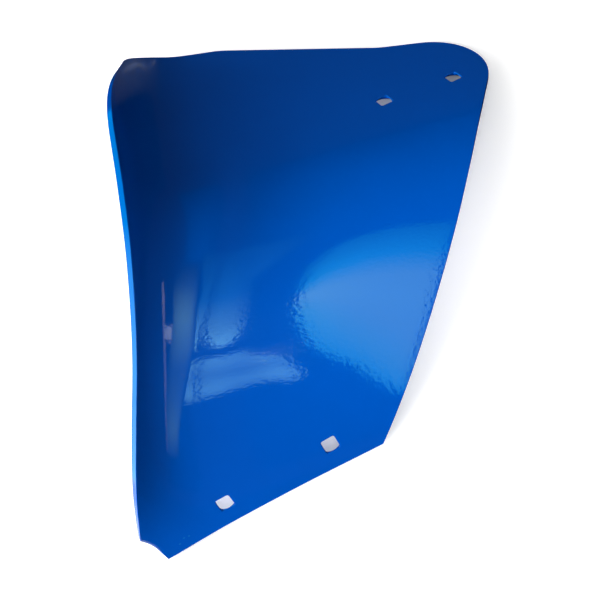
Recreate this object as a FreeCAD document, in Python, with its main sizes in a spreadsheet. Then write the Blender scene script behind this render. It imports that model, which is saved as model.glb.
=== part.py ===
"""Skimmer mouldboard: one 5 mm steel plate, cut and punched flat, then pressed to a double curve.

Flat blank: x runs across the plate, y along it, both in millimetres. The lower left corner of the
blank is the share tip; the edge from there to the share heel butts against the skimmer's share.

Pressed form: along y the plate is rolled over a large radius and then runs out straight. Across it,
the left side curls up into a wing, whose angle grows from nothing at the share to its full value, and
whose bend gets wider, towards the far end. The rim and the walls of the bolt holes stay square to
the plate, because they are cut before it is pressed.

The part lies as it comes to rest, curl upwards, on the share tip and the far edge.
"""
import FreeCAD, Part
import math
import os

Vector = FreeCAD.Vector
Point2d = FreeCAD.Base.Vector2d

os.makedirs("parts", exist_ok=True)
doc = FreeCAD.newDocument("skimmer_mouldboard")

# Driving dimensions, in millimetres and degrees
SIZES = [
    ("plate_thickness", 5),
    ("roll_radius", 200),
    ("roll_end_y", 260),
    ("wing_angle", 109),
    ("wing_start_y", -52),
    ("wing_full_y", 224),
    ("bend_start_x", 0),
    ("bend_width", 60),
    ("bend_widening", 94),
    ("bend_shift", 74),
    ("widening_start_y", 78),
    ("widening_end_y", 258),
    ("tip_x", -56.5),
    ("tip_y", -23),
    ("share_edge_length", 181.6),
    ("share_edge_angle", 13.8),
    ("share_edge_bow", 2.1),
    ("share_edge_round", 1200),
    ("back_edge_bow", 2.8),
    ("back_edge_round", 1800),
    ("heel_corner_x", 333),
    ("heel_corner_y", 354),
    ("heel_corner_round", 54),
    ("top_step_x", 234.2),
    ("top_step_y", 385.4),
    ("top_step_round", 60),
    ("top_bend_x", 98.6),
    ("top_bend_y", 460),
    ("top_bend_round", 54),
    ("wing_corner_x", 14.6),
    ("wing_corner_y", 482.6),
    ("wing_corner_round", 34),
    ("wing_flare_x", -22.6),
    ("wing_flare_y", 367),
    ("wing_flare_round", 420),
    ("wing_waist_x", -21.2),
    ("wing_waist_y", 159),
    ("wing_waist_round", 290),
    ("wing_belly_x", -56.5),
    ("wing_belly_y", 58.7),
    ("wing_belly_round", 340),
    ("wing_foot_x", -67.4),
    ("wing_foot_y", 11.6),
    ("relief_x", -61),
    ("relief_y", 1.8),
    ("relief_round", 45),
    ("hole_side", 11),
    ("hole_round", 1.5),
    ("countersink_diameter", 19.5),
    ("countersink_angle", 90),
    ("share_hole_inset", 21.9),
    ("share_hole_start", 61),
    ("share_hole_pitch", 87.5),
    ("frog_hole_x", 210.5),
    ("frog_hole_y", 304),
    ("frog_hole_pitch", 62.4),
    ("frog_hole_line_angle", 4.6),
]
sheet = doc.addObject("Spreadsheet::Sheet", "sizes")
for row, (alias, value) in enumerate(SIZES, start=1):
    sheet.set(f"A{row}", alias)
    sheet.set(f"B{row}", str(value))
    sheet.setAlias(f"B{row}", alias)
doc.recompute()


def size(alias):
    """A driving dimension, read from the sheet."""
    return float(sheet.get(alias))


# Pressed form

def ease(x):
    """0 up to x = 0, 1 from x = 1, and between them a cubic that starts and ends level."""
    x = min(max(x, 0.0), 1.0)
    return x * x * (3 - 2 * x)


def wing_section(x, y):
    """Where the section across the plate at y has come to at the blank's x: place across, and rise.

    The section is straight up to the bend, then turns through the wing's angle at that y, slowly
    at first and last, and is straight again past the bend. Simpson's rule adds up the turn.
    """
    widened = ease((y - size("widening_start_y")) / (size("widening_end_y") - size("widening_start_y")))
    start = size("bend_start_x") + size("bend_shift") * widened
    width = size("bend_width") + size("bend_widening") * widened
    angle = math.radians(size("wing_angle"))
    angle *= ease((y - size("wing_start_y")) / (size("wing_full_y") - size("wing_start_y")))
    if x >= start:
        return x, 0.0
    steps = 12
    bent = min(start - x, width)
    across = rise = 0.0
    for i in range(steps + 1):
        weight = 1 if i in (0, steps) else 4 if i % 2 else 2
        turn = angle * ease(bent * i / steps / width)
        across += weight * math.cos(turn)
        rise += weight * math.sin(turn)
    across *= bent / steps / 3
    rise *= bent / steps / 3
    straight = start - x - bent
    return start - across - straight * math.cos(angle), rise + straight * math.sin(angle)


def pressed_point(x, y):
    """The blank's point (x, y) on the upper face of the pressed plate."""
    across, rise = wing_section(x, y)
    radius = size("roll_radius")
    rolled = min(y, size("roll_end_y"))
    straight = y - rolled
    lean = rolled / radius
    along = radius * math.sin(lean) + straight * math.cos(lean) + rise * math.sin(lean)
    height = radius * (math.cos(lean) - 1) - straight * math.sin(lean) + rise * math.cos(lean)
    return Vector(across, along, height)


def upward_normal(x, y):
    """The pressed plate's unit normal at the blank's point (x, y), out of the upper face."""
    nudge = 0.05
    along_x = pressed_point(x + nudge, y) - pressed_point(x - nudge, y)
    along_y = pressed_point(x, y + nudge) - pressed_point(x, y - nudge)
    return along_x.cross(along_y).normalize()


def lower_point(x, y):
    """The blank's point (x, y) on the lower face of the pressed plate."""
    return pressed_point(x, y) - upward_normal(x, y) * size("plate_thickness")


def spline_surface(xs, ys, point):
    """A smooth surface through point(x, y) over the grid, whose parameters are x and y themselves."""
    rows = []
    for y in ys:
        curve = Part.BSplineCurve()
        curve.interpolate(Points=[point(x, y) for x in xs], Parameters=xs)
        rows.append(curve)
    columns = []
    for poles in zip(*(row.getPoles() for row in rows)):
        curve = Part.BSplineCurve()
        curve.interpolate(Points=list(poles), Parameters=ys)
        columns.append(curve)
    surface = Part.BSplineSurface()
    surface.buildFromPolesMultsKnots(
        [column.getPoles() for column in columns],
        rows[0].getMultiplicities(), columns[0].getMultiplicities(),
        rows[0].getKnots(), columns[0].getKnots(),
        False, False, rows[0].Degree, columns[0].Degree)
    return surface


# Flat blank

def round_ends(corners):
    """Where each corner's round starts and ends, and its middle, for a closed row of (point, radius)."""
    ends = []
    for i, (corner, radius) in enumerate(corners):
        if radius == 0:
            ends.append((corner, corner, None))
            continue
        back = (corners[i - 1][0] - corner).normalize()
        on = (corners[(i + 1) % len(corners)][0] - corner).normalize()
        half = back.getAngle(on) / 2
        reach = radius / math.tan(half)
        middle = corner + (back + on).normalize() * (radius / math.sin(half))
        ends.append((corner + back * reach, corner + on * reach, middle))
    return ends


def rounded_outline(corners):
    """Lines and tangent arcs in the blank round a closed row of corners, each (point, radius)."""
    pieces = []
    ends = round_ends(corners)
    for i, (first, last, middle) in enumerate(ends):
        if middle is not None:
            pieces.append(arc_2d(middle, first, last))
        following = ends[(i + 1) % len(ends)][0]
        pieces.append(Part.Geom2d.Line2dSegment(flat(last), flat(following)))
    return pieces


def flat(point):
    """The same point as a two-dimensional one."""
    return Point2d(point.x, point.y)


def arc_2d(middle, first, last):
    """The short arc about middle from first to last, which is drawn anticlockwise in either case."""
    start = math.atan2(first.y - middle.y, first.x - middle.x)
    end = math.atan2(last.y - middle.y, last.x - middle.x)
    if (end - start) % (2 * math.pi) > math.pi:
        start, end = end, start
    if end < start:
        end += 2 * math.pi
    circle = Part.Geom2d.Circle2d(flat(middle), (first - middle).Length)
    return Part.Geom2d.ArcOfCircle2d(circle, start, end)


def bow_corner(first, last, bow):
    """The corner that, rounded, bows the straight line from first to last to its right by about bow."""
    line = last - first
    return first + line / 2 + Vector(line.y, -line.x).normalize() * (2 * bow)


def blank_corners():
    """The blank's corners, anticlockwise from the share tip: each its point and the radius on it."""
    edge_angle = math.radians(size("share_edge_angle"))
    tip = Vector(size("tip_x"), size("tip_y"))
    heel = tip + Vector(math.cos(edge_angle), math.sin(edge_angle)) * size("share_edge_length")
    heel_corner = Vector(size("heel_corner_x"), size("heel_corner_y"))
    corners = {
        "tip": (tip, 0),
        "share_edge": (bow_corner(tip, heel, -size("share_edge_bow")), size("share_edge_round")),
        "heel": (heel, 0),
        "back_edge": (bow_corner(heel, heel_corner, size("back_edge_bow")), size("back_edge_round")),
        "heel_corner": (heel_corner, size("heel_corner_round")),
    }
    for name in ("top_step", "top_bend", "wing_corner", "wing_flare", "wing_waist", "wing_belly"):
        corners[name] = (Vector(size(f"{name}_x"), size(f"{name}_y")), size(f"{name}_round"))
    corners["wing_foot"] = (Vector(size("wing_foot_x"), size("wing_foot_y")), 0)
    corners["relief"] = (Vector(size("relief_x"), size("relief_y")), size("relief_round"))
    return corners


def hole_centres():
    """The four bolt holes' centres in the blank: two along the share edge, two near the far corner."""
    edge_angle = math.radians(size("share_edge_angle"))
    along_edge = Vector(math.cos(edge_angle), math.sin(edge_angle))
    inward = Vector(-along_edge.y, along_edge.x)
    tip = Vector(size("tip_x"), size("tip_y"))
    first = tip + along_edge * size("share_hole_start") + inward * size("share_hole_inset")
    line_angle = math.radians(size("frog_hole_line_angle"))
    along_line = Vector(math.cos(line_angle), math.sin(line_angle))
    frog = Vector(size("frog_hole_x"), size("frog_hole_y"))
    return [first, first + along_edge * size("share_hole_pitch"),
            frog, frog + along_line * size("frog_hole_pitch")]


def square_hole(centre):
    """The outline of a square bolt hole, its sides square to the share edge, its corners rounded."""
    edge_angle = math.radians(size("share_edge_angle"))
    half = size("hole_side") / 2
    across = Vector(math.cos(edge_angle), math.sin(edge_angle)) * half
    along = Vector(-across.y, across.x)
    corners = [centre - across - along, centre + across - along,
               centre + across + along, centre - across + along]
    return rounded_outline([(corner, size("hole_round")) for corner in corners])


# Pressed plate

def even_steps(low, high, pitch):
    """Evenly spaced values from low to high, about a pitch apart."""
    count = math.ceil((high - low) / pitch)
    return [low + (high - low) * i / count for i in range(count + 1)]


def trimmed_face(surface, outlines):
    """The part of a surface inside the first outline and outside the others, each a list of edges."""
    faces = []
    for edges in outlines:
        face = Part.Face(surface, Part.Wire(Part.sortEdges(edges)[0]))
        face.validate()
        faces.append(face)
    return faces[0].cut(faces[1:]).Faces[0]


def pressed_plate():
    """The blank's outline and holes on both faces of the pressed form, joined by square-cut walls."""
    grid_pitch = 11
    margin = 6
    outline = list(blank_corners().values())
    corners = [corner for corner, radius in outline]
    xs = even_steps(min(c.x for c in corners) - margin, max(c.x for c in corners) + margin, grid_pitch)
    ys = even_steps(min(c.y for c in corners) - margin, max(c.y for c in corners) + margin, grid_pitch)
    upper = spline_surface(xs, ys, pressed_point)
    lower = spline_surface(xs, ys, lower_point)
    upper_outlines = []
    lower_outlines = []
    faces = []
    for drawn in [rounded_outline(outline)] + [square_hole(centre) for centre in hole_centres()]:
        upper_edges = [piece.toShape(upper) for piece in drawn]
        lower_edges = [piece.toShape(lower) for piece in drawn]
        faces += [Part.makeRuledSurface(above, below) for above, below in zip(upper_edges, lower_edges)]
        upper_outlines.append(upper_edges)
        lower_outlines.append(lower_edges)
    faces.append(trimmed_face(upper, upper_outlines))
    faces.append(trimmed_face(lower, lower_outlines))
    shell = Part.Shell(faces)
    shell.sewShape()
    solid = Part.Solid(shell)
    if solid.Volume < 0:
        solid.reverse()
    return solid


def rest_placement(shape):
    """Lay the plate on its share tip and two points of its far edge, the box's foot at the origin.

    +X is the way across the plate, seen from above, and +Y runs from the share to the far edge.
    """
    corners = blank_corners()
    ends = dict(zip(corners, round_ends(list(corners.values()))))
    far_edge = (ends["heel_corner"][1], ends["top_bend"][0])
    feet = [lower_point(point.x, point.y) for point in (corners["tip"][0], *far_edge)]
    up = (feet[1] - feet[0]).cross(feet[2] - feet[0]).normalize()
    along = up.cross(Vector(1, 0, 0)).normalize()
    across = along.cross(up)
    turn = FreeCAD.Rotation(across, along, up, "ZXY").inverted()
    laid = shape.copy()
    laid.Placement = FreeCAD.Placement(Vector(), turn)
    box = laid.optimalBoundingBox(False, False)
    foot = Vector(box.Center.x, box.Center.y, box.ZMin)
    return FreeCAD.Placement(foot * -1, turn)


# The objects: the pressed plate, the countersinks for the bolt heads, and the one cut by the others

pressed = doc.addObject("Part::Feature", "pressed_plate")
pressed.Label = "pressed_plate"
pressed.Shape = pressed_plate()
resting = rest_placement(pressed.Shape)
pressed.Placement = resting

cones = []
for number, centre in enumerate(hole_centres(), start=1):
    cone = doc.addObject("Part::Cone", f"countersink_{number}")
    cone.Label = f"countersink_{number}"
    cone.setExpression("Radius1", "sizes.countersink_diameter / 2 + tan(sizes.countersink_angle / 2)")
    cone.setExpression("Height", "sizes.countersink_diameter / 2 / tan(sizes.countersink_angle / 2) + 1")
    cone.Radius2 = 0
    outward = upward_normal(centre.x, centre.y)
    foot = lower_point(centre.x, centre.y) - outward
    cone.Placement = resting * FreeCAD.Placement(foot, FreeCAD.Rotation(Vector(0, 0, 1), outward))
    cones.append(cone)
countersinks = doc.addObject("Part::MultiFuse", "countersinks")
countersinks.Label = "countersinks"
countersinks.Shapes = cones

plate = doc.addObject("Part::Cut", "mouldboard")
plate.Label = "mouldboard"
plate.Base = pressed
plate.Tool = countersinks
doc.recompute()

for item in doc.Objects:
    if "Invalid" in item.State or "Error" in item.State:
        raise RuntimeError(f"{item.Label} failed to build")
if plate.Shape.isNull() or not plate.Shape.isValid() or len(plate.Shape.Solids) != 1:
    raise RuntimeError("mouldboard is not one valid solid")
plate.Shape.exportStep(f"parts/{plate.Label}.step")
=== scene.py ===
"""Skimmer mouldboard: a glossy blue pressed steel plate lying on a pale floor.

The plate is worked out again from its flat blank and the press that curves it, finely enough for
mirror-like paint, with the paint's soft edge round its rim and its bolt holes.
"""
import math

import bpy
import numpy as np
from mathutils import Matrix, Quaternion, Vector
from mathutils.geometry import delaunay_2d_cdt

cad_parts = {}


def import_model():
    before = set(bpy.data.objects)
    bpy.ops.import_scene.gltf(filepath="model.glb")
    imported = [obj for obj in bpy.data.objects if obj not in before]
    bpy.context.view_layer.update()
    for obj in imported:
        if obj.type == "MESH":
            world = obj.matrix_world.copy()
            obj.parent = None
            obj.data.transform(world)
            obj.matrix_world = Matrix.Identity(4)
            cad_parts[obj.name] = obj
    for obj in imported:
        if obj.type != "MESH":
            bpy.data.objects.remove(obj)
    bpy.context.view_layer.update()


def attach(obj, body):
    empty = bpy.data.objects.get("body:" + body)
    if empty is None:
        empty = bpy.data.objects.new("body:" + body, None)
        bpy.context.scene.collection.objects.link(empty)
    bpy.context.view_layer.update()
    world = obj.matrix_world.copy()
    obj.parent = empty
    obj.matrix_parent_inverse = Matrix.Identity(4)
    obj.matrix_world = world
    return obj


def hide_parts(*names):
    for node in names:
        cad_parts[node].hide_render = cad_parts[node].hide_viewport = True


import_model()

bl_info = {
    "name": "Skimmer mouldboard",
    "version": (1, 0, 0),
    "blender": (4, 5, 0),
    "location": "View3D > Sidebar > Mouldboard",
    "description": "A pressed and painted plough skimmer mouldboard on a studio floor",
    "category": "Add Mesh",
}

MM = 0.001

# Sizes of the flat blank and the press, in millimetres and degrees

ROLL_RADIUS = 200
ROLL_END_Y = 260
WING_ANGLE = 109
WING_START_Y = -52
WING_FULL_Y = 224
BEND_WIDTH = 60
BEND_WIDENING = 94
BEND_SHIFT = 74
WIDENING_START_Y = 78
WIDENING_END_Y = 258
SHARE_EDGE_ANGLE = math.radians(13.8)
SHARE_EDGE = np.array([math.cos(SHARE_EDGE_ANGLE), math.sin(SHARE_EDGE_ANGLE)])
SHARE_EDGE_INWARD = np.array([-SHARE_EDGE[1], SHARE_EDGE[0]])
SHARE_EDGE_LENGTH = 181.6
TIP = np.array([-56.5, -23.0])
HEEL = TIP + SHARE_EDGE_LENGTH * SHARE_EDGE
HEEL_CORNER = np.array([333.0, 354.0])
SHARE_HOLE_START = 61
SHARE_HOLE_INSET = 21.9
SHARE_HOLE_PITCH = 87.5
SHARE_HOLE = TIP + SHARE_HOLE_START * SHARE_EDGE + SHARE_HOLE_INSET * SHARE_EDGE_INWARD
FROG_HOLE = np.array([210.5, 304.0])
FROG_HOLE_PITCH = 62.4
FROG_HOLE_LINE = math.radians(4.6)
HOLE_SIDE = 11
HOLE_ROUND = 1.5
COUNTERSINK_RADIUS = 9.75
CUT_CORNER_ROUND = 0.9

# How finely it is worked out: the steps in which the bend is added up, the distance between a
# hole's points in millimetres, and how near the outline the sheet's points come, in pitches

SECTION_STEPS = 12
HOLE_PITCH = 0.8
CLEARANCE = 0.45

# How the press's millimetres are turned and moved to the way the plate lies, and the photograph's
# view of it, in metres and radians

REST_TURN = np.array(Quaternion((0.88276104, 0.46267971, 0.07228455, -0.03788635)).to_matrix())
REST_PLACE = np.array([-122.92243, -210.76779, 11.51523])
CAMERA_PLACE = np.array([0.0272716, -0.3114570, 0.5555070])
CAMERA_TURN = (0.3690223, 0.2227861, -0.3025597)


class BlankSettings(bpy.types.PropertyGroup):
    """The plate's thickness, its rounded edges and how finely it is drawn."""
    thickness: bpy.props.FloatProperty(
        name="Thickness", description="Thickness of the steel plate, in millimetres",
        default=5.0, min=3.0, max=8.0)
    edge_round: bpy.props.FloatProperty(
        name="Edge round",
        description="Radius of the paint's soft edge on the cut rim, in millimetres",
        default=0.55, min=0.1, max=1.5)
    pitch: bpy.props.FloatProperty(
        name="Pitch",
        description="Distance between neighbouring points of the plate, in millimetres",
        default=2.8, min=1.5, max=10.0)


class PaintSettings(bpy.types.PropertyGroup):
    """Colour and surface of the paint."""
    colour: bpy.props.FloatVectorProperty(
        name="Colour", description="Base colour of the paint", subtype="COLOR",
        size=3, min=0.0, max=1.0, default=(0.0, 0.094, 0.55))
    orange_peel: bpy.props.FloatProperty(
        name="Orange peel", description="Strength of the fine waviness of the sprayed paint",
        default=0.3, min=0.0, max=1.0)


def ease(x):
    """0 up to x = 0, 1 from x = 1, and between them the cubic 3x^2 - 2x^3."""
    x = np.clip(x, 0.0, 1.0)
    return x * x * (3 - 2 * x)


def wing_section(x, y):
    """Place across and rise of the blank's points after the wing is curled.

    The turn grows from the bend's start by the eased share of the bend's width; its cosine and sine
    are added up by Simpson's rule, and past the bend the section runs on straight.
    """
    widened = ease((y - WIDENING_START_Y) / (WIDENING_END_Y - WIDENING_START_Y))
    start = BEND_SHIFT * widened
    width = BEND_WIDTH + BEND_WIDENING * widened
    angle = math.radians(WING_ANGLE) * ease((y - WING_START_Y) / (WING_FULL_Y - WING_START_Y))
    bent = np.clip(start - x, 0.0, width)
    share = np.arange(SECTION_STEPS + 1) / SECTION_STEPS
    weight = np.where(np.arange(SECTION_STEPS + 1) % 2 == 1, 4.0, 2.0)
    weight[[0, -1]] = 1.0
    turn = angle[:, None] * ease(bent[:, None] / width[:, None] * share)
    across = (np.cos(turn) * weight).sum(1) * bent / SECTION_STEPS / 3
    rise = (np.sin(turn) * weight).sum(1) * bent / SECTION_STEPS / 3
    straight = np.maximum(start - x - width, 0.0)
    across = np.where(x < start, start - across - straight * np.cos(angle), x)
    return across, rise + straight * np.sin(angle)


def pressed(x, y):
    """Upper face of the pressed plate at the blank's (x, y): the wing's section over a roll.

    The roll is an arc of the roll's radius along y, up to where it ends, and straight past it.
    """
    across, rise = wing_section(x, y)
    rolled = np.minimum(y, ROLL_END_Y)
    straight = y - rolled
    lean = rolled / ROLL_RADIUS
    along = ROLL_RADIUS * np.sin(lean) + straight * np.cos(lean) + rise * np.sin(lean)
    height = ROLL_RADIUS * (np.cos(lean) - 1) - straight * np.sin(lean) + rise * np.cos(lean)
    return np.stack([across, along, height], axis=1)


def unit(vectors):
    """The same vectors at length one."""
    return vectors / np.linalg.norm(vectors, axis=1, keepdims=True)


def pressed_axes(x, y):
    """Along x, along y and out of the upper face, each of length one, from central differences."""
    nudge = 0.05
    along_x = unit(pressed(x + nudge, y) - pressed(x - nudge, y))
    along_y = unit(pressed(x, y + nudge) - pressed(x, y - nudge))
    return along_x, along_y, unit(np.cross(along_x, along_y))


def laid(points):
    """The press's millimetres, turned and moved to the way the plate lies, in metres."""
    return (points @ REST_TURN.T + REST_PLACE) * MM


def rounded_loop(corners, pitch):
    """Points round a closed outline of (corner, radius), about a pitch apart, and outward normals.

    Each corner's arc touches both its sides; arcs are cut into equal angles, and sides evenly.
    """
    count = len(corners)
    points, normals = [], []
    ends = []
    for i, (corner, radius) in enumerate(corners):
        back = corners[i - 1][0] - corner
        on = corners[(i + 1) % count][0] - corner
        back = back / np.linalg.norm(back)
        on = on / np.linalg.norm(on)
        half = math.acos(np.clip(back @ on, -1, 1)) / 2
        reach = radius / math.tan(half)
        middle = corner + (back + on) / np.linalg.norm(back + on) * radius / math.sin(half)
        ends.append((corner + back * reach, corner + on * reach, middle, radius))
    for i, (first, last, middle, radius) in enumerate(ends):
        start = math.atan2(*(first - middle)[::-1])
        sweep = math.atan2(*(last - middle)[::-1]) - start
        sweep = (sweep + math.pi) % (2 * math.pi) - math.pi
        steps = math.ceil(max(abs(sweep) * radius / pitch, abs(sweep) / math.radians(15)))
        angles = start + sweep * np.arange(steps + 1) / steps
        spoke = np.stack([np.cos(angles), np.sin(angles)], axis=1)
        points.append(middle + spoke * radius)
        normals.append(spoke * math.copysign(1.0, sweep))
        following = ends[(i + 1) % count][0]
        gap = following - last
        length = np.linalg.norm(gap)
        cuts = max(math.ceil(length / pitch), 1)
        share = np.arange(1, cuts)[:, None] / cuts
        points.append(last + gap * share)
        normals.append(np.repeat([[gap[1] / length, -gap[0] / length]], cuts - 1, axis=0))
    return np.concatenate(points), np.concatenate(normals)


def bow_corner(first, last, bow):
    """The corner that, rounded, bows the line from first to last to its right by about bow."""
    line = last - first
    return first + line / 2 + np.array([line[1], -line[0]]) / np.linalg.norm(line) * 2 * bow


def blank_outline(pitch):
    """The blank's outline, anticlockwise from the share tip, and its outward normals."""
    corners = [
        (TIP, CUT_CORNER_ROUND), (bow_corner(TIP, HEEL, -2.1), 1200), (HEEL, CUT_CORNER_ROUND),
        (bow_corner(HEEL, HEEL_CORNER, 2.8), 1800), (HEEL_CORNER, 54), ((234.2, 385.4), 60),
        ((98.6, 460), 54), ((14.6, 482.6), 34), ((-22.6, 367), 420), ((-21.2, 159), 290),
        ((-56.5, 58.7), 340), ((-67.4, 11.6), CUT_CORNER_ROUND), ((-61, 1.8), 45)]
    return rounded_loop([(np.array(corner), radius) for corner, radius in corners], pitch)


def bolt_holes():
    """Centre, outline and normals of each square hole, clockwise so that normals point inwards."""
    along_line = np.array([math.cos(FROG_HOLE_LINE), math.sin(FROG_HOLE_LINE)])
    centres = [SHARE_HOLE, SHARE_HOLE + SHARE_EDGE * SHARE_HOLE_PITCH,
               FROG_HOLE, FROG_HOLE + along_line * FROG_HOLE_PITCH]
    half = HOLE_SIDE / 2
    holes = []
    for centre in centres:
        corners = [centre + half * (SHARE_EDGE * a + SHARE_EDGE_INWARD * b)
                   for a, b in ((-1, -1), (-1, 1), (1, 1), (1, -1))]
        outline = rounded_loop([(corner, HOLE_ROUND) for corner in corners], HOLE_PITCH)
        holes.append((centre, *outline))
    return holes


class Skin:
    """Blocks of a closed surface, each with its own normals, welded where they meet."""

    def __init__(self):
        self.points, self.normals, self.faces, self.total = [], [], [], 0

    def add(self, points, normals, faces):
        """Add a block of vertices and the faces on them."""
        self.points.append(points)
        self.normals.append(normals)
        self.faces.append(faces + self.total)
        self.total += len(points)

    def profile(self, outline, outward, outs, downs, out_parts, up_parts):
        """Carry a profile round an outline: how far out and down it goes, and its normal's parts.

        Each has a row for each step of the profile, and a column for each point of the outline.
        """
        steps, count = outs.shape
        place = (outline[None] + outward[None] * outs[..., None]).reshape(-1, 2)
        spin = np.tile(outward, (steps, 1))
        across, along, up = pressed_axes(place[:, 0], place[:, 1])
        points = pressed(place[:, 0], place[:, 1]) - up * downs.reshape(-1, 1)
        side = along_surface(spin, across, along, up)
        normals = unit(side * out_parts.reshape(-1, 1) + up * up_parts.reshape(-1, 1))
        ring = np.arange(count)
        after = np.roll(ring, -1)
        row = np.arange(steps - 1)[:, None] * count
        quads = np.stack([row + ring, row + count + ring, row + count + after, row + after], -1)
        self.add(points, normals, quads.reshape(-1, 4))

    def mesh(self, name):
        """The welded mesh, smooth shaded with the blocks' own normals at each face's corners."""
        points = laid(np.concatenate(self.points))
        normals = np.concatenate(self.normals) @ REST_TURN.T
        _, first, welded = np.unique(
            np.round(points * 1e6), axis=0, return_index=True, return_inverse=True)
        corners = np.concatenate([block.ravel() for block in self.faces])
        sizes = np.concatenate([np.full(len(block), block.shape[1]) for block in self.faces])
        mesh = bpy.data.meshes.new(name)
        mesh.vertices.add(len(first))
        mesh.vertices.foreach_set("co", points[first].ravel())
        mesh.loops.add(len(corners))
        mesh.loops.foreach_set("vertex_index", welded.ravel()[corners])
        mesh.polygons.add(len(sizes))
        mesh.polygons.foreach_set("loop_start", np.cumsum(sizes) - sizes)
        mesh.polygons.foreach_set("use_smooth", np.ones(len(sizes), dtype=bool))
        mesh.update(calc_edges=True)
        mesh.validate()
        mesh.normals_split_custom_set(normals[corners].tolist())
        return mesh


def cut_sheet(loops, pitch):
    """The blank's points and triangles inside the first loop and outside the others.

    The points are the loops' own and a grid in staggered rows between them, joined by a Delaunay
    triangulation that keeps the loops' edges.
    """
    low, high = loops[0].min(0), loops[0].max(0)
    grid = np.stack(np.meshgrid(*(np.arange(low[i], high[i], pitch) for i in (0, 1))), axis=-1)
    grid[1::2, :, 0] += pitch / 2
    grid = grid.reshape(-1, 2)
    keep = inside(grid, loops[0])
    for loop in loops[1:]:
        keep &= ~inside(grid, loop)
    for loop in loops:
        keep &= distance(grid, loop) > pitch * CLEARANCE
    starts = np.cumsum([0] + [len(loop) for loop in loops])
    edges = [np.stack([ring, np.roll(ring, -1)], axis=1)
             for ring in (start + np.arange(len(loop)) for start, loop in zip(starts, loops))]
    flat = np.concatenate(loops + [grid[keep]])
    edges = np.concatenate(edges).tolist()
    found = delaunay_2d_cdt(list(map(Vector, flat)), edges, [], 0, 1e-6, True)
    flat = np.array(found[0])
    triangles = np.array(found[2])
    centres = flat[triangles].mean(1)
    keep = inside(centres, loops[0])
    for loop in loops[1:]:
        keep &= ~inside(centres, loop)
    return flat, triangles[keep]


def plate_mesh(settings):
    """The pressed plate as one closed mesh.

    Its two faces are the press formula over the blank's points. Its rim is a profile carried along
    the outline: a quarter round, a straight wall and a quarter round. Each bolt hole's profile is a
    quarter round, a wall, and the cone that takes the bolt's head. The cone meets the wall lower at
    the hole's corners than at its sides.
    """
    pitch, soft, thickness = settings.pitch, settings.edge_round, settings.thickness
    outline, outward = blank_outline(pitch)
    holes = bolt_holes()
    skin = Skin()
    squares = [loop + soft * -inwards for _, loop, inwards in holes]
    spokes = [unit(loop - centre) for centre, loop, _ in holes]
    circles = [centre + spoke * COUNTERSINK_RADIUS for (centre, _, _), spoke in zip(holes, spokes)]
    for loops, depth, side in (([outline - outward * soft] + squares, 0.0, 1),
                               ([outline - outward * soft] + circles, thickness, -1)):
        flat, triangles = cut_sheet(loops, pitch)
        up = pressed_axes(flat[:, 0], flat[:, 1])[2]
        skin.add(pressed(flat[:, 0], flat[:, 1]) - up * depth, up * side, triangles[:, ::side])
    turn = np.radians(np.linspace(0, 90, 5))[:, None]
    ones = np.ones((1, len(outline)))
    outs = np.concatenate([np.sin(turn), np.cos(turn)]) * soft - soft
    downs = np.concatenate([(1 - np.cos(turn)) * soft, thickness - soft + np.sin(turn) * soft])
    skin.profile(outline, outward, outs * ones, downs * ones,
                 np.concatenate([np.sin(turn), np.cos(turn)]) * ones,
                 np.concatenate([np.cos(turn), -np.sin(turn)]) * ones)
    for (centre, loop, inwards), spoke in zip(holes, spokes):
        reach = np.linalg.norm(loop - centre, axis=1)[None]
        wall_end = thickness - (COUNTERSINK_RADIUS - reach)
        ones = np.ones_like(reach)
        skin.profile(loop, inwards, (np.sin(turn) * soft - soft) * ones,
                     (1 - np.cos(turn)) * soft * ones, np.sin(turn) * ones, np.cos(turn) * ones)
        skin.profile(loop, inwards, np.zeros((2, 1)) * ones,
                     np.concatenate([soft * ones, wall_end]),
                     np.ones((2, 1)) * ones, np.zeros((2, 1)) * ones)
        share = np.linspace(0, 1, 4)[:, None]
        leaning = -np.ones((4, 1)) * ones
        skin.profile(loop, spoke, share * (COUNTERSINK_RADIUS - reach),
                     wall_end + share * (thickness - wall_end), leaning, leaning)
    return skin.mesh("pressed_plate")


def along_surface(direction, across, along, up):
    """A direction of the blank carried on to the pressed plate, square to its normal."""
    carried = across * direction[:, :1] + along * direction[:, 1:]
    carried -= up * (carried * up).sum(1, keepdims=True)
    return unit(carried)


def inside(points, loop):
    """Which points lie inside a closed loop, by how often a ray along x crosses it."""
    here, there = loop, np.roll(loop, -1, axis=0)
    above = here[None, :, 1] > points[:, None, 1]
    crosses = above != (there[None, :, 1] > points[:, None, 1])
    with np.errstate(divide="ignore", invalid="ignore"):
        slope = (there[:, 0] - here[:, 0]) / (there[:, 1] - here[:, 1])
    reach = here[None, :, 0] + (points[:, None, 1] - here[None, :, 1]) * slope[None]
    return (crosses & (points[:, None, 0] < reach)).sum(1) % 2 == 1


def distance(points, loop):
    """Distance from each point to the nearest corner of a loop."""
    nearest = np.full(len(points), np.inf)
    for part in np.array_split(loop, max(len(loop) // 100, 1)):
        apart = np.linalg.norm(points[:, None] - part[None], axis=2)
        nearest = np.minimum(nearest, apart.min(1))
    return nearest


class Wire:
    """A socket of a shader's node tree, on which sums and products add Math nodes."""

    def __init__(self, shader, socket):
        self.shader = shader
        self.socket = socket

    def _maths(self, operation, first, second):
        return self.shader.node("ShaderNodeMath", {"operation": operation}, {0: first, 1: second})

    def __add__(self, other):
        return self._maths("ADD", self, other)

    def __mul__(self, other):
        return self._maths("MULTIPLY", self, other)

    __radd__ = __add__
    __rmul__ = __mul__


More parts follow.
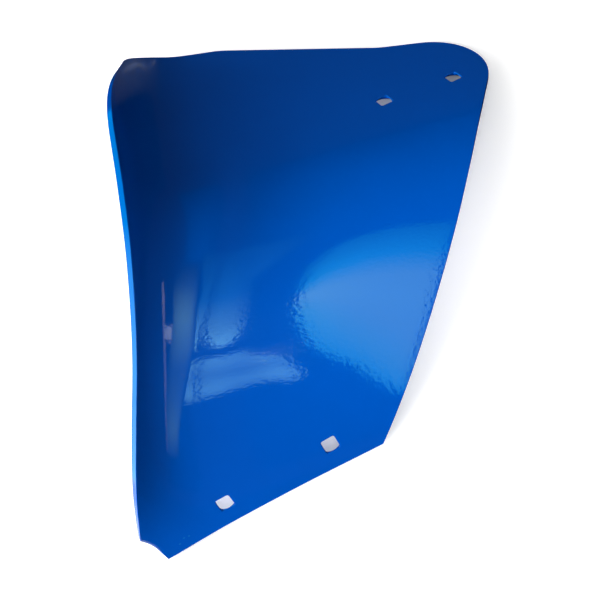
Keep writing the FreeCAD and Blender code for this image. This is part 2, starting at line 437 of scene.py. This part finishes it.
class Shader:
    """A material or world whose nodes are added one call at a time."""

    def __init__(self, made):
        self.made = made
        made.use_nodes = True
        self.nodes = made.node_tree.nodes
        self.links = made.node_tree.links
        self.nodes.clear()
        kind = "World" if isinstance(made, bpy.types.World) else "Material"
        self.output = self.nodes.new("ShaderNodeOutput" + kind)

    def node(self, kind, settings=None, inputs=None, output=0):
        """Add a node, set what it is, then fill its sockets with values or links."""
        made = self.nodes.new(kind)
        for name, value in (settings or {}).items():
            setattr(made, name, value)
        for name, value in (inputs or {}).items():
            if isinstance(value, Wire):
                self.links.new(value.socket, made.inputs[name])
            else:
                made.inputs[name].default_value = value
        return Wire(self, made.outputs[output])

    def seen(self):
        """1 for rays from the camera, in reflections and through glass, and 0 for the light."""
        return sum(self.node("ShaderNodeLightPath", output=f"Is {kind} Ray")
                   for kind in ("Camera", "Glossy", "Transmission"))

    def surface(self, wire):
        """Lead a shader to the output, and give back the finished material or world."""
        self.links.new(wire.socket, self.output.inputs["Surface"])
        return self.made


# The paint: its waves and mottle per metre, the waves' depth in metres, and the faint pale specks
# near the share tip, in metres

PEEL_SCALE = 560.0
PEEL_STRETCH = (0.55, 1.0, 1.0)
PEEL_DEPTH = 0.00014
MOTTLE_SCALE = 14.0
MOTTLE_SHADE = 0.88
SPECKS = ((-0.1584, -0.2148, 0.0135), (-0.1622, -0.2151, 0.0143), (-0.1672, -0.2177, 0.0113))
SPECK_SIZE = 0.0009
SPECK_SHARE = 0.5
SPECK_COLOUR = (0.03, 0.2, 0.55, 1)


def blue_paint(settings):
    """Glossy sprayed enamel on rolled steel: a deep blue with orange peel, faint mottle and specks.

    The peel is noise that is drawn out across the plate. The mottle mixes the colour with a darker
    shade of it. A speck is wherever the distance to its place is less than its size.
    """
    shader = Shader(bpy.data.materials.new("blue enamel"))
    place = shader.node("ShaderNodeTexCoord", output="Object")
    drawn = shader.node("ShaderNodeMapping", {}, {"Vector": place, "Scale": PEEL_STRETCH})
    peel = shader.node("ShaderNodeTexNoise", {}, {
        "Vector": drawn, "Scale": PEEL_SCALE, "Detail": 1.5, "Roughness": 0.5})
    bump = shader.node("ShaderNodeBump", {}, {
        "Strength": settings.orange_peel, "Distance": PEEL_DEPTH, "Height": peel})
    mottle = shader.node("ShaderNodeTexNoise", {}, {
        "Vector": place, "Scale": MOTTLE_SCALE, "Detail": 3.0})
    colour = (*settings.colour, 1)
    deep = (*(MOTTLE_SHADE * part for part in settings.colour), 1)
    mottled = shader.node("ShaderNodeMix", {"data_type": "RGBA"}, {
        0: mottle, 6: deep, 7: colour}, output=2)
    speckle = 0.0
    for speck in SPECKS:
        apart = shader.node("ShaderNodeVectorMath", {"operation": "DISTANCE"}, {
            0: place, 1: speck}, output="Value")
        speckle += shader.node("ShaderNodeMath", {"operation": "LESS_THAN"}, {
            0: apart, 1: SPECK_SIZE})
    speckled = shader.node("ShaderNodeMix", {"data_type": "RGBA"}, {
        0: SPECK_SHARE * speckle, 6: mottled, 7: SPECK_COLOUR}, output=2)
    return shader.surface(shader.node("ShaderNodeBsdfPrincipled", {}, {
        "Base Color": speckled, "Roughness": 0.05, "IOR": 1.5, "Normal": bump}))


class MOULDBOARD_OT_plate(bpy.types.Operator):
    """Draw the pressed plate with its painted edges in place of the plain solid"""
    bl_idname = "mouldboard.plate"
    bl_label = "Add the pressed plate"

    def execute(self, context):
        settings = context.scene.mouldboard_blank
        mesh = plate_mesh(settings)
        mesh.materials.append(blue_paint(context.scene.mouldboard_paint))
        plate = bpy.data.objects.new("pressed_plate", mesh)
        context.scene.collection.objects.link(plate)
        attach(plate, "root")
        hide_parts("mouldboard")
        return {"FINISHED"}


def levels(colour, *shares):
    """A colour at each of several strengths."""
    return [tuple(share * part for part in colour) for share in shares]


# Painted reflections: the windows, sky, lamp and floor below are glowing cards that only the gloss
# sees and that light nothing, set where the plate is to show bright reflections.
# The windows that the plate reflects. Rows are lines across the blank, as x and y of each of their
# places, in millimetres: points picked on the photograph's reflections and carried on to the blank.
# Glows has a colour for each row, and along is the share of it that glows from the row's start to
# its end. Far is how far off the window is, in metres.

SKY = (0.26, 0.76, 0.88)
LOW_SKY = (0.16, 0.77, 0.9)
CYAN = (0.03, 0.68, 1.1)
BLUE = (0.05, 0.5, 1.1)
DEEP = (0.0, 0.2, 1.0)
DAY = (0.9, 1.0, 1.0)
DUSK = (1.0, 0.85, 0.85)
HAZE = (0.42, 0.9, 0.6)
PAINTED_REFLECTIONS = {
    "painted large window reflection": dict(rows=(
        (141, 54, 132, 66, 123, 75, 115, 86, 106, 93, 97, 100, 90, 109, 87, 119, 86, 133, 89, 140),
        (149, 66, 142, 78, 134, 88, 126, 98, 117, 107,
         110, 115, 102, 124, 96, 131, 90, 139, 90, 141),
        (163, 86, 157, 95, 150, 104, 141, 113, 133, 121,
         123, 129, 114, 135, 103, 139, 94, 142, 90, 142),
        (182, 115, 176, 118, 167, 121, 157, 124, 146, 128,
         133, 132, 120, 136, 107, 139, 96, 142, 90, 143),
        (192, 129, 185, 133, 177, 136, 166, 139, 154, 142,
         141, 144, 127, 145, 113, 146, 101, 145, 91, 144),
        (202, 145, 195, 147, 185, 150, 174, 153, 162, 155,
         148, 157, 134, 157, 119, 156, 105, 152, 93, 146),
        (215, 163, 207, 166, 196, 168, 184, 171, 170, 173,
         154, 174, 137, 174, 121, 170, 105, 163, 93, 150),
    ), along=(0.9, 0.95, 1.0, 1.15, 1.3), far=2.2,
        glows=(levels(CYAN, 5.0) + levels(LOW_SKY, 5.0) + levels(SKY, 5.1, 5.3, 5.0)
               + levels(CYAN, 4.2, 1.6))),
    "painted small window reflection": dict(rows=(
        (22, 137, 23, 131, 27, 126, 34, 126, 41, 130, 46, 135),
        (23, 147, 25, 142, 30, 138, 37, 138, 45, 140, 51, 143),
        (27, 166, 30, 162, 36, 159, 45, 158, 53, 158, 60, 161),
        (35, 195, 40, 194, 48, 191, 58, 188, 66, 185, 73, 183),
    ), along=(0.6, 1.0, 1.0, 0.9, 0.7, 0.5), far=2.2,
        glows=levels(SKY, 8.5, 4.0) + levels(BLUE, 2.4, 0.6)),
    "painted low window reflection": dict(rows=(
        (-7, 97, 4, 95, 16, 95, 28, 95, 40, 95, 53, 94, 65, 90, 75, 87),
        (-2, 105, 8, 101, 18, 100, 30, 101, 42, 100, 53, 99, 66, 97, 76, 93),
        (4, 113, 12, 111, 21, 109, 31, 107, 41, 107, 53, 107, 65, 105, 75, 97),
        (12, 123, 17, 121, 23, 120, 32, 119, 42, 120, 50, 113, 60, 111, 69, 106),
    ), along=(0.9, 1.0, 1.0, 0.8, 0.9, 1.2, 1.2), glows=levels(SKY, 2.6, 4.6, 2.4, 5.2), far=2.2),
    # A painted sheen: its deep blue glow, seen only in the gloss, brightens the middle and right of
    # the face in place of more light.
    "painted blue sheen": dict(rows=(
        (30, 30, 60, 30, 90, 30, 140, 30, 190, 30, 240, 30),
        (30, 70, 60, 70, 90, 70, 140, 70, 190, 70, 240, 70),
        (38, 110, 68, 110, 98, 110, 148, 110, 198, 110, 248, 110),
        (50, 150, 80, 150, 110, 150, 160, 150, 210, 150, 260, 150),
        (66, 190, 96, 190, 126, 190, 176, 190, 226, 190, 276, 190),
        (78, 225, 108, 225, 138, 225, 188, 225, 238, 225, 288, 225),
        (84, 262, 114, 262, 144, 262, 194, 262, 244, 262, 294, 262),
    ), along=(0.0, 0.5, 1.0, 1.0, 1.0, 0.6), far=3.0,
        glows=levels(DEEP, 0.0, 0.6, 1.2, 1.6, 1.4, 0.8, 0.0)),
    "painted valley highlight": dict(rows=(
        (19.0, 192.9, 22.5, 192.4, 25.9, 191.7, 29.4, 190.9, 32.8, 190.0),
        (9.3, 177.4, 13.8, 176.6, 18.2, 175.7, 22.6, 174.6, 27.0, 173.3),
        (5.9, 167.2, 10.2, 166.4, 14.4, 165.4, 18.6, 164.3, 22.8, 163.1),
        (2.3, 153.8, 6.1, 152.9, 9.9, 151.9, 13.8, 150.8, 17.6, 149.6),
        (-3.8, 137.6, 0.2, 136.5, 4.2, 135.4, 8.1, 134.2, 12.1, 133.0),
        (-10.5, 121.8, -6.9, 120.7, -3.3, 119.6, 0.2, 118.5, 3.9, 117.4),
        (-17.8, 102.7, -14.9, 101.7, -12.0, 100.7, -9.0, 99.7, -6.1, 98.7),
        (-23.4, 82.8, -21.3, 82.0, -19.2, 81.1, -17.1, 80.3, -15.0, 79.6),
        (-29.3, 62.6, -27.4, 61.7, -25.4, 60.8, -23.5, 59.9, -21.6, 59.0),
    ), along=(0.4, 0.9, 1.0, 0.9, 0.0), far=0.012,
        glows=levels(HAZE, 0.0, 0.5, 1.6, 2.6, 1.6, 0.5, 0.8, 1.5, 0.0)),
    "painted valley streak": dict(rows=(
        (1.2, 180.2, -1.5, 168.2, -6.5, 148.5,
         -11.4, 128.9, -18.6, 102.7, -24.2, 82.8, -27.9, 69.3),
        (2.6, 180.2, 0.1, 168.2, -4.9, 148.5, -9.8, 128.9, -17.0, 102.7, -22.6, 82.8, -26.3, 69.3),
    ), along=(1.3, 1.8, 1.0, 1.0, 1.0, 1.0, 0.9), glows=levels(DUSK, 1.1, 1.1), far=2.2),
    # A painted reflection of a lamp, not a lamp: a small card that only the gloss sees.
    "lamp": dict(rows=(
        (-7.7, 141.4, -4.3, 140.2, -1.0, 139.7),
        (-6.4, 146.0, -2.9, 145.2, 0.4, 144.8),
        (-4.9, 151.1, -1.5, 150.3, 1.8, 149.7),
    ), along=(0.7, 1.0, 0.9), glows=levels(DAY, 2.2, 3.4, 2.8), far=2.1),
    # A painted reflection of the pale floor: a faint card just above it that only the gloss sees.
    "pale floor": dict(rows=(
        (-17, 344, -6, 367, 5, 387, 14, 401, 21, 406, 27, 405, 31, 397, 33, 383),
        (-15, 370, -4, 396, 6, 420, 16, 434, 24, 440, 31, 440, 37, 434, 41, 427),
        (-14, 400, -4, 430, 7, 457, 18, 472, 28, 478, 35, 478, 42, 477, 50, 476),
    ), along=(0.4, 0.7, 1.0, 0.8, 0.3, 0.0), glows=levels(DAY, 0.05, 0.12, 0.2), far=2.2),
    "painted arch highlight": dict(rows=(
        (0.4, 420.6, 9.4, 440.5, 18.6, 455.5, 24.5, 449.2, 29.6, 436.9),
        (1.0, 426.9, 10.1, 446.9, 19.3, 461.9, 25.2, 455.3, 30.3, 442.8),
    ), along=(0.2, 1.0, 1.0, 0.8, 0.1), glows=levels(DAY, 0.6, 0.6), far=0.08),
}

# How far above the floor a painted reflection's card ends, in metres, and the steps from each given
# place to the next

ABOVE_FLOOR = 0.004
FINE = 6

# How far off the lamps and the painted side reflection are, in metres, and the lamps: name, kind,
# azimuth and elevation in degrees, what they face, size in metres, or in degrees for a spot, and
# power in watts

ROOM_REACH = 2.2
MIDDLE = (0, 0, 0.05)
LAMPS = (
    ("left", "AREA", 180, 20, MIDDLE, 0.9, 53),
    ("front left", "AREA", 210, 20, MIDDLE, 0.9, 30),
    ("high left", "AREA", 210, 45, MIDDLE, 0.9, 20),
    ("overhead", "AREA", 270, 70, MIDDLE, 0.9, 8),
    ("spot", "SPOT", 285, 62, (0.075, -0.075, 0.06), 11, 70),
)
SPOT_SOFTNESS = 0.15

# The surround: the floor's and the dome's reach in metres, the floor's own glow near the plate, the
# distances between which that grows to white, how far round the plate ambient occlusion dims that
# glow as a painted shade, and the room's dim light

FLOOR_REACH = 4.0
FLOOR_GLOW = 0.72
FLOOR_GLOW_FADES = (0.8, 1.8)
PAINTED_SHADE_REACH = 0.12
DIM = 0.02

# The painted side reflection's red, green and blue at four azimuths in degrees, and the dark sheet,
# a painted dark reflection of the floor that only the gloss sees: the corners of its near edge,
# where it ends on the far side, and its height, in metres

SIDE_AZIMUTHS = (105, 130, 160, 200)
SIDE_GLOWS = ((0.0, 0.0, 1.2, 4.0), (0.8, 2.2, 4.2, 7.0), (2.2, 2.6, 3.0, 5.5))
DARK_SHEET_EDGE = ((-1.6, -4.1), (-0.185, -0.5), (-0.185, 0.25), (-1.0, 0.35), (-2.5, 4.1))
DARK_SHEET_END = 4.1
DARK_SHEET_HEIGHT = 0.002


def camera(context):
    """The photograph's view: a 45 mm lens above the share edge, turned with the picture."""
    data = bpy.data.cameras.new("camera")
    data.lens = 45.0
    data.sensor_width = 36.0
    made = bpy.data.objects.new("camera", data)
    made.location = CAMERA_PLACE
    made.rotation_euler = CAMERA_TURN
    context.scene.collection.objects.link(made)
    context.scene.camera = made


def lamp(context, name, kind, azimuth, elevation, target, size, power):
    """A soft square light, or a spot with a soft edge, facing a target from two angles in degrees.

    It stays out of the gloss, which shows the painted reflections instead. Size is the square's
    side in metres, or the spot's angle in degrees.
    """
    data = bpy.data.lights.new(name, kind)
    data.energy = power
    if kind == "AREA":
        data.shape = "SQUARE"
        data.size = size
    else:
        data.spot_size = math.radians(size)
        data.spot_blend = 1.0
        data.shadow_soft_size = SPOT_SOFTNESS
    made = bpy.data.objects.new(name, data)
    turn, rise = math.radians(azimuth), math.radians(elevation)
    away = Vector((math.cos(turn) * math.cos(rise), math.sin(turn) * math.cos(rise),
                   math.sin(rise)))
    made.location = Vector(target) + away * ROOM_REACH
    made.rotation_euler = away.to_track_quat("Z", "Y").to_euler()
    made.visible_glossy = made.visible_camera = False
    context.scene.collection.objects.link(made)


def stage_piece(context, mesh):
    """Put a mesh in the scene as part of the studio."""
    made = bpy.data.objects.new(mesh.name, mesh)
    context.scene.collection.objects.link(made)
    return made


def floor(context):
    """A pale floor that keeps the plate's shadow.

    To the camera, in reflections and through glass it is lifted to white, and more so far from the
    plate, where the lamps don't reach. Close round and under the plate, ambient occlusion holds the
    lift back: a painted shade.
    """
    mesh = bpy.data.meshes.new("floor")
    corners = ((-1, -1), (1, -1), (1, 1), (-1, 1))
    mesh.from_pydata([(FLOOR_REACH * x, FLOOR_REACH * y, 0) for x, y in corners],
                     [], [(0, 1, 2, 3)])
    shader = Shader(bpy.data.materials.new("pale floor"))
    place = shader.node("ShaderNodeTexCoord", output="Object")
    away = shader.node("ShaderNodeVectorMath", {"operation": "LENGTH"}, {0: place}, output="Value")
    glow = shader.node("ShaderNodeMapRange", {}, {
        "Value": away, "From Min": FLOOR_GLOW_FADES[0], "From Max": FLOOR_GLOW_FADES[1],
        "To Min": FLOOR_GLOW, "To Max": 1.0})
    board = shader.node("ShaderNodeBsdfDiffuse", {}, {"Color": (0.8, 0.8, 0.8, 1)})
    lift = shader.node("ShaderNodeEmission", {}, {"Color": glow, "Strength": 1.0})
    lifted = shader.node("ShaderNodeAddShader", {}, {0: board, 1: lift})
    # Ambient occlusion dims the floor's glow close round and under the plate: a painted shade.
    clear = shader.node("ShaderNodeAmbientOcclusion", {"samples": 8}, {
        "Distance": PAINTED_SHADE_REACH}, output="AO")
    mesh.materials.append(shader.surface(shader.node(
        "ShaderNodeMixShader", {}, {0: shader.seen() * clear, 1: board, 2: lifted})))
    stage_piece(context, mesh)


def world(context):
    """A white surround that puts next to no light on the plate, as the lamps do that."""
    shader = Shader(bpy.data.worlds.new("surround"))
    dim, white = (shader.node("ShaderNodeBackground", {}, {
        "Color": (1, 1, 1, 1), "Strength": strength}) for strength in (DIM, 1.0))
    context.scene.world = shader.surface(shader.node(
        "ShaderNodeMixShader", {}, {0: shader.seen(), 1: dim, 2: white}))


def card(context, name, points, colours):
    """A sheet through a grid of points that only the gloss sees, glowing in its points' colours: a
    painted reflection that lights nothing.
    """
    height, width = points.shape[:2]
    quads = np.arange(height - 1)[:, None] * width + np.arange(width - 1)
    quads = np.stack([quads, quads + 1, quads + width + 1, quads + width], axis=-1).reshape(-1, 4)
    mesh = bpy.data.meshes.new(name)
    mesh.from_pydata(points.reshape(-1, 3).tolist(), [], quads.tolist())
    colours = np.concatenate([colours.reshape(-1, 3), np.ones((height * width, 1))], axis=1)
    mesh.attributes.new("glow", "FLOAT_COLOR", "POINT").data.foreach_set("color", colours.ravel())
    shader = Shader(bpy.data.materials.new(name))
    glow = shader.node("ShaderNodeAttribute", {"attribute_name": "glow"}, output="Color")
    mesh.materials.append(shader.surface(shader.node("ShaderNodeBsdfPrincipled", {}, {
        "Base Color": (0, 0, 0, 1), "Specular IOR Level": 0.0, "Emission Color": glow,
        "Emission Strength": 1.0})))
    made = stage_piece(context, mesh)
    made.visible_camera = made.visible_diffuse = made.visible_shadow = False
    made.visible_transmission = False


def spread(values, axis):
    """Fill in evenly between neighbours along an axis, with fine steps from each to the next."""
    count = values.shape[axis]
    at = np.linspace(0, count - 1, (count - 1) * FINE + 1)
    low = np.minimum(at.astype(int), count - 2)
    share = np.expand_dims(at - low, tuple(i for i in range(values.ndim) if i != axis))
    return np.take(values, low, axis) * (1 - share) + np.take(values, low + 1, axis) * share


def window(context, name, rows, along, glows, far):
    """A painted reflection: a glowing card placed so that the camera sees it reflected where the
    rows say.

    The rows are lines across the flat blank, in millimetres. Between them the places are evened out
    into a grid, each point's line of sight is mirrored in the plate, and the card's point is put on
    it, as far off as said or just above the floor.
    """
    rows = spread(spread(np.array(rows, dtype=float).reshape(len(rows), -1, 2), 0), 1)
    height, width = rows.shape[:2]
    place = rows.reshape(-1, 2)
    up = pressed_axes(place[:, 0], place[:, 1])[2] @ REST_TURN.T
    seen = laid(pressed(place[:, 0], place[:, 1]))
    sight = unit(seen - CAMERA_PLACE)
    mirrored = sight - 2 * (sight * up).sum(1, keepdims=True) * up
    down = mirrored[:, 2:]
    to_floor = (ABOVE_FLOOR - seen[:, 2:]) / down
    points = seen + mirrored * np.where(down < -0.001, np.minimum(far, to_floor), far)
    by_row = spread(np.array(glows), 0)[:, None]
    by_place = np.interp(np.linspace(0, 1, width), np.linspace(0, 1, len(along)), along)[:, None]
    card(context, name, points.reshape(height, width, 3), by_row * by_place)


def dome(azimuths, rises, radius):
    """A grid of points on a sphere, from its angles in degrees, with a row for each rise."""
    azimuth = np.radians(azimuths)[None]
    rise = np.radians(rises)[:, None]
    return radius * np.stack([np.cos(azimuth) * np.cos(rise), np.sin(azimuth) * np.cos(rise),
                              np.sin(rise) * np.ones_like(azimuth)], axis=-1)


def room(context):
    """What else the gloss shows, all painted reflections that light nothing: a dim room, a side
    window, and a dark sheet just over the floor that makes the reflected floor dark.
    """
    walls = dome(np.linspace(0, 360, 49), np.linspace(0, 90, 9), FLOOR_REACH)
    card(context, "room", walls, np.full(walls.shape, DIM))
    azimuths = np.linspace(100, 200, 11)
    side_glow_sheet = dome(azimuths, np.linspace(0, 60, 4), ROOM_REACH)
    glow = np.stack([np.interp(azimuths, SIDE_AZIMUTHS, part) for part in SIDE_GLOWS], axis=1)
    card(context, "painted side window reflection", side_glow_sheet, np.ones(side_glow_sheet.shape) * glow)
    dark_sheet = np.array([[(x, y, DARK_SHEET_HEIGHT), (DARK_SHEET_END, y, DARK_SHEET_HEIGHT)] for x, y in DARK_SHEET_EDGE])
    card(context, "painted dark floor reflection", dark_sheet, np.zeros(dark_sheet.shape))


class MOULDBOARD_OT_stage(bpy.types.Operator):
    """Add the floor, the lamps, the painted reflections that only the gloss shows, and the
    photograph's camera
    """
    bl_idname = "mouldboard.stage"
    bl_label = "Add the studio"

    def execute(self, context):
        camera(context)
        floor(context)
        world(context)
        for facts in LAMPS:
            lamp(context, *facts)
        for name, facts in PAINTED_REFLECTIONS.items():
            window(context, name, **facts)
        room(context)
        context.scene.view_settings.view_transform = "Standard"
        return {"FINISHED"}


class MOULDBOARD_PT_sidebar(bpy.types.Panel):
    """The plate's sizes, its paint and the steps that build it"""
    bl_label = "Mouldboard"
    bl_space_type = "VIEW_3D"
    bl_region_type = "UI"
    bl_category = "Mouldboard"

    def draw(self, context):
        for group in (context.scene.mouldboard_blank, context.scene.mouldboard_paint):
            for name in group.bl_rna.properties.keys():
                if name not in ("rna_type", "name"):
                    self.layout.prop(group, name)
        self.layout.operator(MOULDBOARD_OT_plate.bl_idname)
        self.layout.operator(MOULDBOARD_OT_stage.bl_idname)


CLASSES = (BlankSettings, PaintSettings, MOULDBOARD_OT_plate, MOULDBOARD_OT_stage,
           MOULDBOARD_PT_sidebar)


def register():
    """Add the settings, the operators and the panel."""
    for item in CLASSES:
        bpy.utils.register_class(item)
    bpy.types.Scene.mouldboard_blank = bpy.props.PointerProperty(type=BlankSettings)
    bpy.types.Scene.mouldboard_paint = bpy.props.PointerProperty(type=PaintSettings)


def unregister():
    """Take them away again."""
    del bpy.types.Scene.mouldboard_paint
    del bpy.types.Scene.mouldboard_blank
    for item in reversed(CLASSES):
        bpy.utils.unregister_class(item)


def main():
    """Build the plate and the studio."""
    register()
    bpy.ops.mouldboard.plate()
    bpy.ops.mouldboard.stage()
    bpy.context.view_layer.update()


if __name__ == "__main__":
    main()
